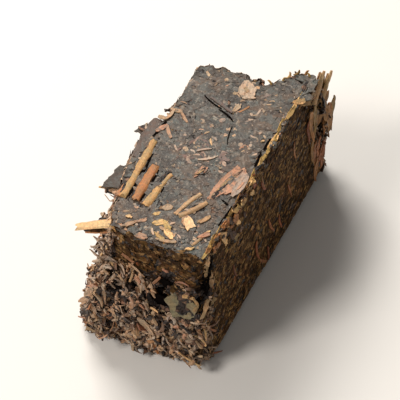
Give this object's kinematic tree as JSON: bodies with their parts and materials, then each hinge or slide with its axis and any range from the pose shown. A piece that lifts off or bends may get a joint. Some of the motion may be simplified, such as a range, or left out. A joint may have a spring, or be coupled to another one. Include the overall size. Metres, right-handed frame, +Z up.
{
  "type": "tea brick",
  "caption": "Broken chunk of a pressed dark tea brick, with a flat pressed top and side and craggy broken sides of curled leaves and stems.",
  "frame": {"origin": "on the surface that the chunk rests on, under the middle of its bounding box", "axes": "+Z up out of the pressed top, +Y along the chunk from its near broken end to its far broken end, +X out of the pressed side"},
  "size_m": [0.0533, 0.1055, 0.0605],
  "materials": {
    "pressed_tea": "matte pressed tea leaf"
  },
  "bodies": {
    "root": {"tea_brick": "pressed_tea"}
  },
  "joints": []
}
